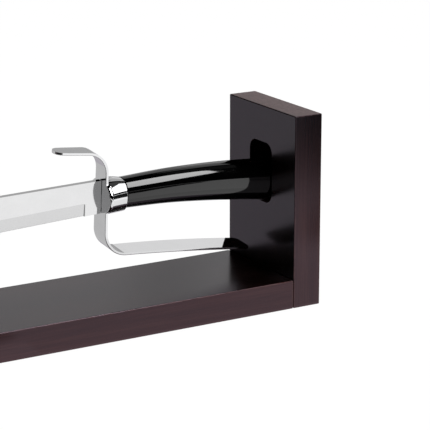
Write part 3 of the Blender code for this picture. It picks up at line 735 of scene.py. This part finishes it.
def pocket_cutter():
    """The blind pocket for the handle's butt, with rounded corners."""
    bm = bmesh.new()
    across = POCKET_WIDTH / 2 - POCKET_CORNER
    up = POCKET_HEIGHT / 2 - POCKET_CORNER
    floor = right_low.z + POCKET_FLOOR
    rings = []
    for x in (right_low.x - OVERCUT, right_low.x + POCKET_DEPTH):
        ring = []
        for quarter, (sy, sz) in enumerate(((1, 1), (-1, 1), (-1, -1), (1, -1))):
            for angle in steps(quarter * math.pi / 2, (quarter + 1) * math.pi / 2, 12):
                ring.append((x, POCKET_SHIFT + sy * across + POCKET_CORNER * math.cos(angle),
                             floor + POCKET_HEIGHT / 2 + sz * up + POCKET_CORNER * math.sin(angle)))
        rings.append(ring)
    add_loft(bm, rings)
    return bm


def slot_cutter():
    """The open slot for the blade, flared at its mouth."""
    reach = steps(left_low.x - GUARD_X, left_high.x - GUARD_X, 20)
    lowest = min(edge_height(x) for x in reach)
    highest = max(spine_height(x) for x in reach)
    floor = SEAT_Z + lowest * math.cos(LEAN) - GAP
    half = (SPINE_THICKNESS + (highest - lowest) * math.sin(LEAN)) / 2 + SLOT_SIDE_ROOM
    y = -(highest + lowest) / 2 * math.sin(LEAN)
    top = left_high.z
    outline = [(half, floor), (half, top - SLOT_FLARE_DEPTH), (half + SLOT_FLARE, top),
               (half + SLOT_FLARE, top + OVERCUT)]
    outline += [(-across, z) for across, z in reversed(outline)]
    bm = bmesh.new()
    add_loft(bm, [[(x, y + across, z) for across, z in outline]
                  for x in (left_low.x - OVERCUT, left_high.x + OVERCUT)])
    return bm


def make_board(name, node, low, high, cutters, axis, lift=1.0):
    """A board with eased arrises, its holes and its own grain."""
    middle = (low + high) / 2
    half = (high - low) / 2
    bm = bmesh.new()
    add_box(bm, -half, half)
    board = new_piece(name, bm, Matrix.Translation(middle), smooth=0)
    break_edges(board, ARRIS, segments=4)
    for cutter in cutters:
        carve(board, cutter)
    break_edges(board, RIM, segments=2, angle=50)
    soften(board, angle=40)
    keep_flats(board)
    finish_piece(board, wood_material(name + "_wood", axis, half, lift), "stand", node)


def make_plug(end, number, side):
    """A flush wooden plug with a fine chamfer round its face."""
    node = f"plug_{end}_{number}"
    low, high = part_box(node)
    middle = (low + high) / 2
    radius = (high.z - low.z) / 2
    half = (high.x - low.x) / 2
    profile = [(-half, radius - PLUG_LEAD_DEPTH), (-half + PLUG_LEAD, radius)]
    profile += [(half - below, radius - inward) for below, inward in PLUG_ROUNDING]
    profile.append((half, radius * PLUG_CENTRE_SHARE))
    bm = bmesh.new()
    add_turned(bm, [(side * x, r) for x, r in profile], BORE_SIDES)
    plug = new_piece(node + "_wood", bm, Matrix.Translation(middle))
    keep_flats(plug)
    finish_piece(plug, wood_material(node + "_grain", 2, None, 1.25), "stand", node)


def make_pad(end, number):
    """A round felt foot with soft edges and an uneven nap."""
    node = f"pad_{end}_{number}"
    low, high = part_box(node)
    middle = (low + high) / 2
    radius = (high.x - low.x) / 2
    thick = high.z - low.z
    soft = PAD_SOFTNESS
    outline = [(low.z, radius * share) for share in PAD_FACE_RINGS]
    for centre_z, start, end_angle in ((low.z + soft, -math.pi / 2, 0), (high.z - soft, 0, math.pi / 2)):
        for angle in steps(start, end_angle, 5):
            outline.append((centre_z + soft * math.sin(angle), radius - soft + soft * math.cos(angle)))
    outline += [(high.z, radius * share) for share in reversed(PAD_FACE_RINGS)]
    rings = []
    for z, r in outline:
        ring = []
        for i in range(PAD_SIDES):
            a = math.tau * i / PAD_SIDES
            p = Vector((r * math.cos(a), r * math.sin(a), z - middle.z))
            nap = noise.noise(p * NAP_SCALE) * NAP_DEPTH
            if abs(z - middle.z) > thick * PAD_FACE_FROM:
                nap = min(0.0, nap)
            p.xy *= 1 + nap / radius
            ring.append(p)
        rings.append(ring)
    bm = bmesh.new()
    add_loft(bm, rings)
    pad = new_piece(node + "_felt", bm, Matrix.Translation(middle), smooth=70)
    finish_piece(pad, felt, "stand", node)


# ------------------------------------------------------------------ sabre

def blade_ring(x):
    """The blade's section: square spine, flats, soft bevel line and a fine edge."""
    spine = spine_height(x)
    edge = edge_height(x)
    taper = -x / BLADE_LENGTH
    half = (SPINE_THICKNESS + (TIP_THICKNESS - SPINE_THICKNESS) * taper ** 2) / 2
    u = min(1.0, max(0.0, (-x - RICASSO) / PLUNGE))
    ground = 1 - (1 - u) ** PLUNGE_CURVE
    foot = half + (EDGE_THICKNESS / 2 - half) * ground
    tall = spine - edge
    rise = min(BEVEL_HEIGHT, BEVEL_SHARE * tall)
    soft = min(BEVEL_SOFTNESS, SOFTNESS_SHARE * tall)
    lip = min(EDGE_LIP, EDGE_LIP_SHARE * tall)
    slope = (half - foot) / rise
    side = [(half, spine),
            (half, edge + rise + soft),
            (half - 0.25 * soft * slope, edge + rise),
            (half - soft * slope, edge + rise - soft),
            (foot + lip * slope, edge + lip),
            (foot * EDGE_NARROWING, edge)]
    return [(x, -y, z) for y, z in reversed(side)] + [(x, y, z) for y, z in side]


def make_blade():
    """Blade with its plunge and bevel, shoulder, flat tang and threaded rod, in one piece."""
    places = steps(-GAP, -RICASSO, 8)
    places += [-RICASSO - PLUNGE * share ** PLUNGE_CROWDING for share in steps(0, 1, PLUNGE_STEPS)[1:]]
    places += steps(-RICASSO - PLUNGE, -BLADE_LENGTH + BELLY_LENGTH, 70)[1:]
    places += [-BLADE_LENGTH + BELLY_LENGTH * (1 - math.sin(angle))
               for angle in steps(0, BELLY_TURN, 46)[1:]]
    bm = bmesh.new()
    add_loft(bm, [blade_ring(x) for x in places])
    blade = new_piece("blade_forged", bm, SABRE)
    half = TANG_THICKNESS / 2
    tang = bmesh.new()
    add_box(tang, (-TANG_IN_BLADE, -half, TANG_AXIS - TANG_HEIGHT / 2),
            (TANG_FLAT, half, TANG_AXIS + TANG_HEIGHT / 2))
    carve(blade, tang, "UNION", SABRE)
    end = BUTT_END - ROD_SHORT_OF_BUTT
    profile = [(TANG_FLAT - ROD_IN_TANG, ROD_RADIUS), (end - THREAD_RUN_OUT, ROD_RADIUS)]
    x = end - THREAD_START
    while x < end - THREAD_END:
        profile += [(x, ROD_RADIUS - THREAD_DEPTH), (x + THREAD_PITCH / 2, ROD_RADIUS)]
        x += THREAD_PITCH
    profile.append((end, ROD_RADIUS - ROD_CHAMFER))
    rod = bmesh.new()
    add_turned(rod, profile, HOLE_SIDES, 0.0, TANG_AXIS)
    carve(blade, rod, "UNION", SABRE)
    soften(blade, angle=32)
    keep_flats(blade)
    steel = steel_material("blade_satin", (0.80, 0.80, 0.805), roughness=(0.06, 0.11),
                           lines=(14, 2600, 2600), depth=0.0004 * MM)
    finish_piece(blade, steel, "sabre", "blade")


def strip_ring(point, heading, half, under_edge):
    """The strip's section: crisp outer corners, the under ones rounded."""
    normal = Vector((-math.sin(heading), math.cos(heading)))
    radius = min(under_edge, half * 0.8)
    section = [(half, STRIP_THICKNESS / 2), (-half, STRIP_THICKNESS / 2)]
    for side in (-1, 1):
        for angle in steps(0, math.pi / 2, 5):
            turn = angle if side < 0 else math.pi / 2 - angle
            section.append((side * (half - radius + radius * math.cos(turn)),
                            radius - STRIP_THICKNESS / 2 - radius * math.sin(turn)))
    return [(point.x + n * normal.x, y, point.y + n * normal.y) for y, n in section]


def tang_hole():
    """Cutter for the slot that the tang passes through."""
    half = TANG_THICKNESS / 2 + GAP
    tall = TANG_HEIGHT / 2 + GAP
    bm = bmesh.new()
    add_box(bm, (-OVERCUT, -half, TANG_AXIS - tall), (TANG_FLAT + GAP, half, TANG_AXIS + tall))
    return bm


def make_guard():
    """Quillon, leg with its oval plate, and bow, in one bent strip."""
    path = StripPath()
    rings = []
    for distance, half in path.stations():
        point, heading = path.at(distance)
        plain = path.half_width(distance)
        swell = (half - plain) / (PLATE_WIDTH / 2 - plain)
        under_edge = STRIP_UNDER_EDGE + (PLATE_UNDER_EDGE - STRIP_UNDER_EDGE) * max(0.0, swell)
        rings.append(strip_ring(point, heading, half, under_edge))
    bm = bmesh.new()
    add_loft(bm, rings)
    guard = new_piece("guard_bent_strip", bm, SABRE)
    carve(guard, tang_hole(), "DIFFERENCE", SABRE)
    soften(guard, angle=38)
    keep_flats(guard)
    steel = steel_material("mirror_steel", (0.83, 0.83, 0.84), roughness=(0.035, 0.075),
                           lines=(90, 900, 300), depth=0.00008 * MM)
    finish_piece(guard, steel, "sabre", "guard")


def oval(x, width, height, centre, fullness):
    """An upright oval across the X axis; fullness above 2 squares its shoulders."""
    power = 2 / fullness
    ring = []
    for i in range(OVAL_SIDES):
        a = math.tau * i / OVAL_SIDES
        c = math.cos(a)
        s = math.sin(a)
        ring.append((x, width / 2 * math.copysign(abs(c) ** power, c),
                     centre + height / 2 * math.copysign(abs(s) ** power, s)))
    return ring


def make_ferrule():
    """Polished collar that tapers from the oval plate to the handle's neck."""
    rear = FERRULE_REAR - FERRULE_LIP
    rings = []

    def add(x, share, inset):
        width = FERRULE_WIDTH + (FERRULE_REAR_WIDTH - FERRULE_WIDTH) * share
        height = FERRULE_HEIGHT + (FERRULE_REAR_HEIGHT - FERRULE_HEIGHT) * share ** 2
        centre = PLATE_CENTRE + (FERRULE_REAR_CENTRE - PLATE_CENTRE) * share ** 2
        rings.append(oval(x, width - 2 * inset, height - 2 * inset, centre, FERRULE_FULLNESS))

    small = FERRULE_EDGE
    for angle in steps(0, math.pi / 2, 3)[:-1]:
        add(FERRULE_FRONT + small * (1 - math.cos(angle)), 0, small * (1 - math.sin(angle)))
    for share in steps(0, 1, 18):
        add(FERRULE_FRONT + small + (rear - FERRULE_FRONT - small) * share, share, 0)
    for angle in steps(0, math.pi / 2, 8)[1:]:
        add(rear + FERRULE_LIP * math.sin(angle), 1, FERRULE_LIP * (1 - math.cos(angle)))
    bm = bmesh.new()
    add_loft(bm, rings)
    ferrule = new_piece("ferrule_collar", bm, SABRE)
    carve(ferrule, tang_hole(), "DIFFERENCE", SABRE)
    soften(ferrule, angle=38)
    keep_flats(ferrule)
    steel = steel_material("collar_steel", (0.84, 0.84, 0.85), roughness=(0.03, 0.06),
                           lines=(400, 400, 400), depth=0.00005 * MM)
    finish_piece(ferrule, steel, "sabre", "ferrule")


def make_handle():
    """Drooping black handle with a rounded butt, bored for the tang and its nut."""
    height, width, centre = handle_shape()
    rings = []
    small = HANDLE_EDGE
    for angle in steps(0, math.pi / 2, 3)[:-1]:
        inset = small * (1 - math.sin(angle))
        x = HANDLE_FRONT + small * (1 - math.cos(angle))
        rings.append(oval(x, width(x) - 2 * inset, height(x) * HANDLE_SLIM - 2 * inset,
                          centre(x), HANDLE_FULLNESS))
    for x in steps(HANDLE_FRONT + small, POMMEL, 90):
        rings.append(oval(x, width(x), height(x) * HANDLE_SLIM, centre(x), HANDLE_FULLNESS))
    for angle in steps(0, math.pi / 2, 20)[1:]:
        share = math.sqrt(1 - (math.sin(angle) / BUTT_FULLNESS) ** 2)
        rings.append(oval(POMMEL + BUTT_ROUNDING * math.sin(angle), width(POMMEL) * share,
                          height(POMMEL) * HANDLE_SLIM * share, centre(POMMEL), HANDLE_FULLNESS))
    bm = bmesh.new()
    add_loft(bm, rings)
    handle = new_piece("handle_moulded", bm, SABRE)
    carve(handle, tang_hole(), "DIFFERENCE", SABRE)
    rod = ROD_RADIUS + GAP
    recess = WASHER_RADIUS + GAP
    floor = BUTT_END - RECESS_DEPTH
    bore = bmesh.new()
    add_turned(bore, [(TANG_FLAT - BORE_SHORT_OF_FLAT, rod), (floor, rod), (floor, recess),
                      (BUTT_END + OVERCUT, recess)], BORE_SIDES, 0.0, TANG_AXIS)
    carve(handle, bore, "DIFFERENCE", SABRE)
    soften(handle, angle=40)
    keep_flats(handle)
    finish_piece(handle, handle_material(), "sabre", "handle")


def make_fixings():
    """Washer with rounded rims and chamfered nut on the threaded rod."""
    bore = ROD_RADIUS + GAP
    x = BUTT_END - RECESS_DEPTH + GAP
    soft = WASHER_ROUNDING
    end = x + WASHER_HEIGHT
    profile = [(x, bore + soft), (x, WASHER_RADIUS - soft), (x + soft, WASHER_RADIUS),
               (end - soft, WASHER_RADIUS), (end, WASHER_RADIUS - soft), (end, bore + soft),
               (end - soft, bore), (x + soft, bore)]
    bm = bmesh.new()
    add_ring(bm, profile, WASHER_SIDES, 0.0, TANG_AXIS)
    washer = new_piece("washer_plated", bm, SABRE, smooth=50)
    finish_piece(washer, zinc, "sabre", "tang_washer")

    x = end + GAP
    corner = NUT_WIDTH / math.sqrt(3)
    bm = bmesh.new()
    add_turned(bm, [(x, corner), (x + NUT_HEIGHT, corner)], 6, 0.0, TANG_AXIS)
    nut = new_piece("nut_plated", bm, SABRE, smooth=0)
    shape = bmesh.new()
    inner = NUT_WIDTH / 2 * NUT_FACE_SHARE
    add_turned(shape, [(x - NUT_CUT_PROUD, inner), (x + NUT_CHAMFER, corner),
                       (x + NUT_HEIGHT - NUT_CHAMFER, corner),
                       (x + NUT_HEIGHT + NUT_CUT_PROUD, inner)], WASHER_SIDES, 0.0, TANG_AXIS)
    carve(nut, shape, "INTERSECT", SABRE)
    hole = bmesh.new()
    add_turned(hole, [(x - OVERCUT, bore), (x + NUT_HEIGHT + OVERCUT, bore)], BORE_SIDES, 0.0, TANG_AXIS)
    carve(nut, hole, "DIFFERENCE", SABRE)
    soften(nut, angle=30)
    finish_piece(nut, zinc, "sabre", "tang_nut")


# ------------------------------------------------------------------ stage

def emitter(name, colour, strength):
    """A plain glowing material for the stage."""
    material = bpy.data.materials.new(name)
    material.use_nodes = True
    tree = material.node_tree
    tree.nodes.clear()
    glow = tree.nodes.new("ShaderNodeEmission")
    glow.inputs["Color"].default_value = (*colour, 1)
    glow.inputs["Strength"].default_value = strength
    out = tree.nodes.new("ShaderNodeOutputMaterial")
    tree.links.new(glow.outputs[0], out.inputs[0])
    return material


def panel(name, corners, strength, colour=(1, 1, 1)):
    """A flat stage piece with a glow, which the camera doesn't see."""
    mesh = bpy.data.meshes.new(name)
    mesh.from_pydata(corners, [], [tuple(range(len(corners)))])
    piece = bpy.data.objects.new(name, mesh)
    bpy.context.scene.collection.objects.link(piece)
    mesh.materials.append(emitter(name, colour, strength))
    piece.visible_camera = False
    return piece


def sheet(name, corners, strength, colour=(1, 1, 1)):
    """A glowing studio sheet, seen only in reflections."""
    piece = panel(name, corners, strength, colour)
    piece.visible_diffuse = False
    piece.visible_shadow = False
    piece.visible_transmission = False


def area_light(name, place, size, power, target):
    """A soft box aimed at a point; it lights surfaces but isn't reflected."""
    data = bpy.data.lights.new(name, "AREA")
    data.shape = "RECTANGLE"
    data.size, data.size_y = size
    data.energy = power
    light = bpy.data.objects.new(name, data)
    light.location = place
    light.rotation_euler = (Vector(target) - Vector(place)).to_track_quat("-Z", "Y").to_euler()
    bpy.context.scene.collection.objects.link(light)
    light.visible_camera = False
    light.visible_glossy = False


def make_surroundings():
    """White backdrop that only the camera sees, and a white floor."""
    world = bpy.data.worlds.new("studio")
    bpy.context.scene.world = world
    world.use_nodes = True
    sky = world.node_tree.nodes["Background"]
    sky.inputs["Color"].default_value = (1, 1, 1, 1)
    sky.inputs["Strength"].default_value = 1.0
    world.cycles_visibility.glossy = False
    world.cycles_visibility.diffuse = False

    bm = bmesh.new()
    bmesh.ops.create_grid(bm, x_segments=8, y_segments=8, size=FLOOR_HALF)
    floor = new_piece("studio_floor", bm, smooth=0)
    white = Nodes("floor_white")
    white.set(Base_Color=(0.05, 0.05, 0.05, 1), Roughness=1.0, Specular_IOR_Level=0.0,
              Emission_Color=(1, 1, 1, 1), Emission_Strength=1.0)
    floor.data.materials.append(white.material)
    floor.visible_diffuse = False


def make_lights():
    """Soft boxes, the flag that shades one of them, and what the bright parts reflect."""
    area_light(*KEY_LIGHT, (GUARD_X, 0, SEAT_Z))
    area_light(*TOP_LIGHT, TOP_LIGHT_AIM)
    flag = panel("key_flag", KEY_FLAG, 0, (0, 0, 0))
    flag.visible_glossy = False
    for name, strength, height, outline, colour in SHEETS:
        sheet(name, [(x, y, height) for x, y in outline], strength, colour)
    for name, strength, centre, across, up in CARDS:
        centre, across, up = Vector(centre), Vector(across), Vector(up)
        sheet(name, [centre - across - up, centre + across - up, centre + across + up,
                     centre - across + up], strength)


def make_camera():
    """A long lens from the front left, a little above."""
    data = bpy.data.cameras.new("camera")
    data.sensor_width = SENSOR_WIDTH
    data.lens = CAMERA_LENS
    data.clip_start = 0.05
    data.clip_end = 60
    camera = bpy.data.objects.new("camera", data)
    camera.location = (right_low.x + CAMERA_X, CAMERA_Y, base_low.z + CAMERA_Z)
    camera.rotation_euler = (math.pi / 2 - CAMERA_DOWN, 0, -CAMERA_ROUND)
    bpy.context.scene.collection.objects.link(camera)
    bpy.context.scene.camera = camera
    bpy.context.scene.view_settings.view_transform = "Standard"


# ------------------------------------------------------------------ build

felt = felt_material()
zinc = zinc_material()
beech = beech_material()

make_board("base_board_wenge", "base_board", base_low, base_high, [joinery(1), joinery(-1)], 0)
make_board("handle_end_board", "handle_upright", right_low, right_high,
           [joinery(1), pocket_cutter()], 2, 0.8)
make_board("blade_end_board", "blade_upright", left_low, left_high,
           [joinery(-1), slot_cutter()], 2, 0.8)
for end, side in (("handle_end", 1), ("blade_end", -1)):
    for number in (1, 2):
        make_plug(end, number, side)
        make_pad(end, number)
        for name, material in ((f"dowel_{end}_{number}", beech), (f"screw_{end}_{number}", zinc)):
            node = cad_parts[name]
            node.data.materials.clear()
            node.data.materials.append(material)
make_blade()
make_guard()
make_ferrule()
make_handle()
make_fixings()
make_surroundings()
make_lights()
make_camera()
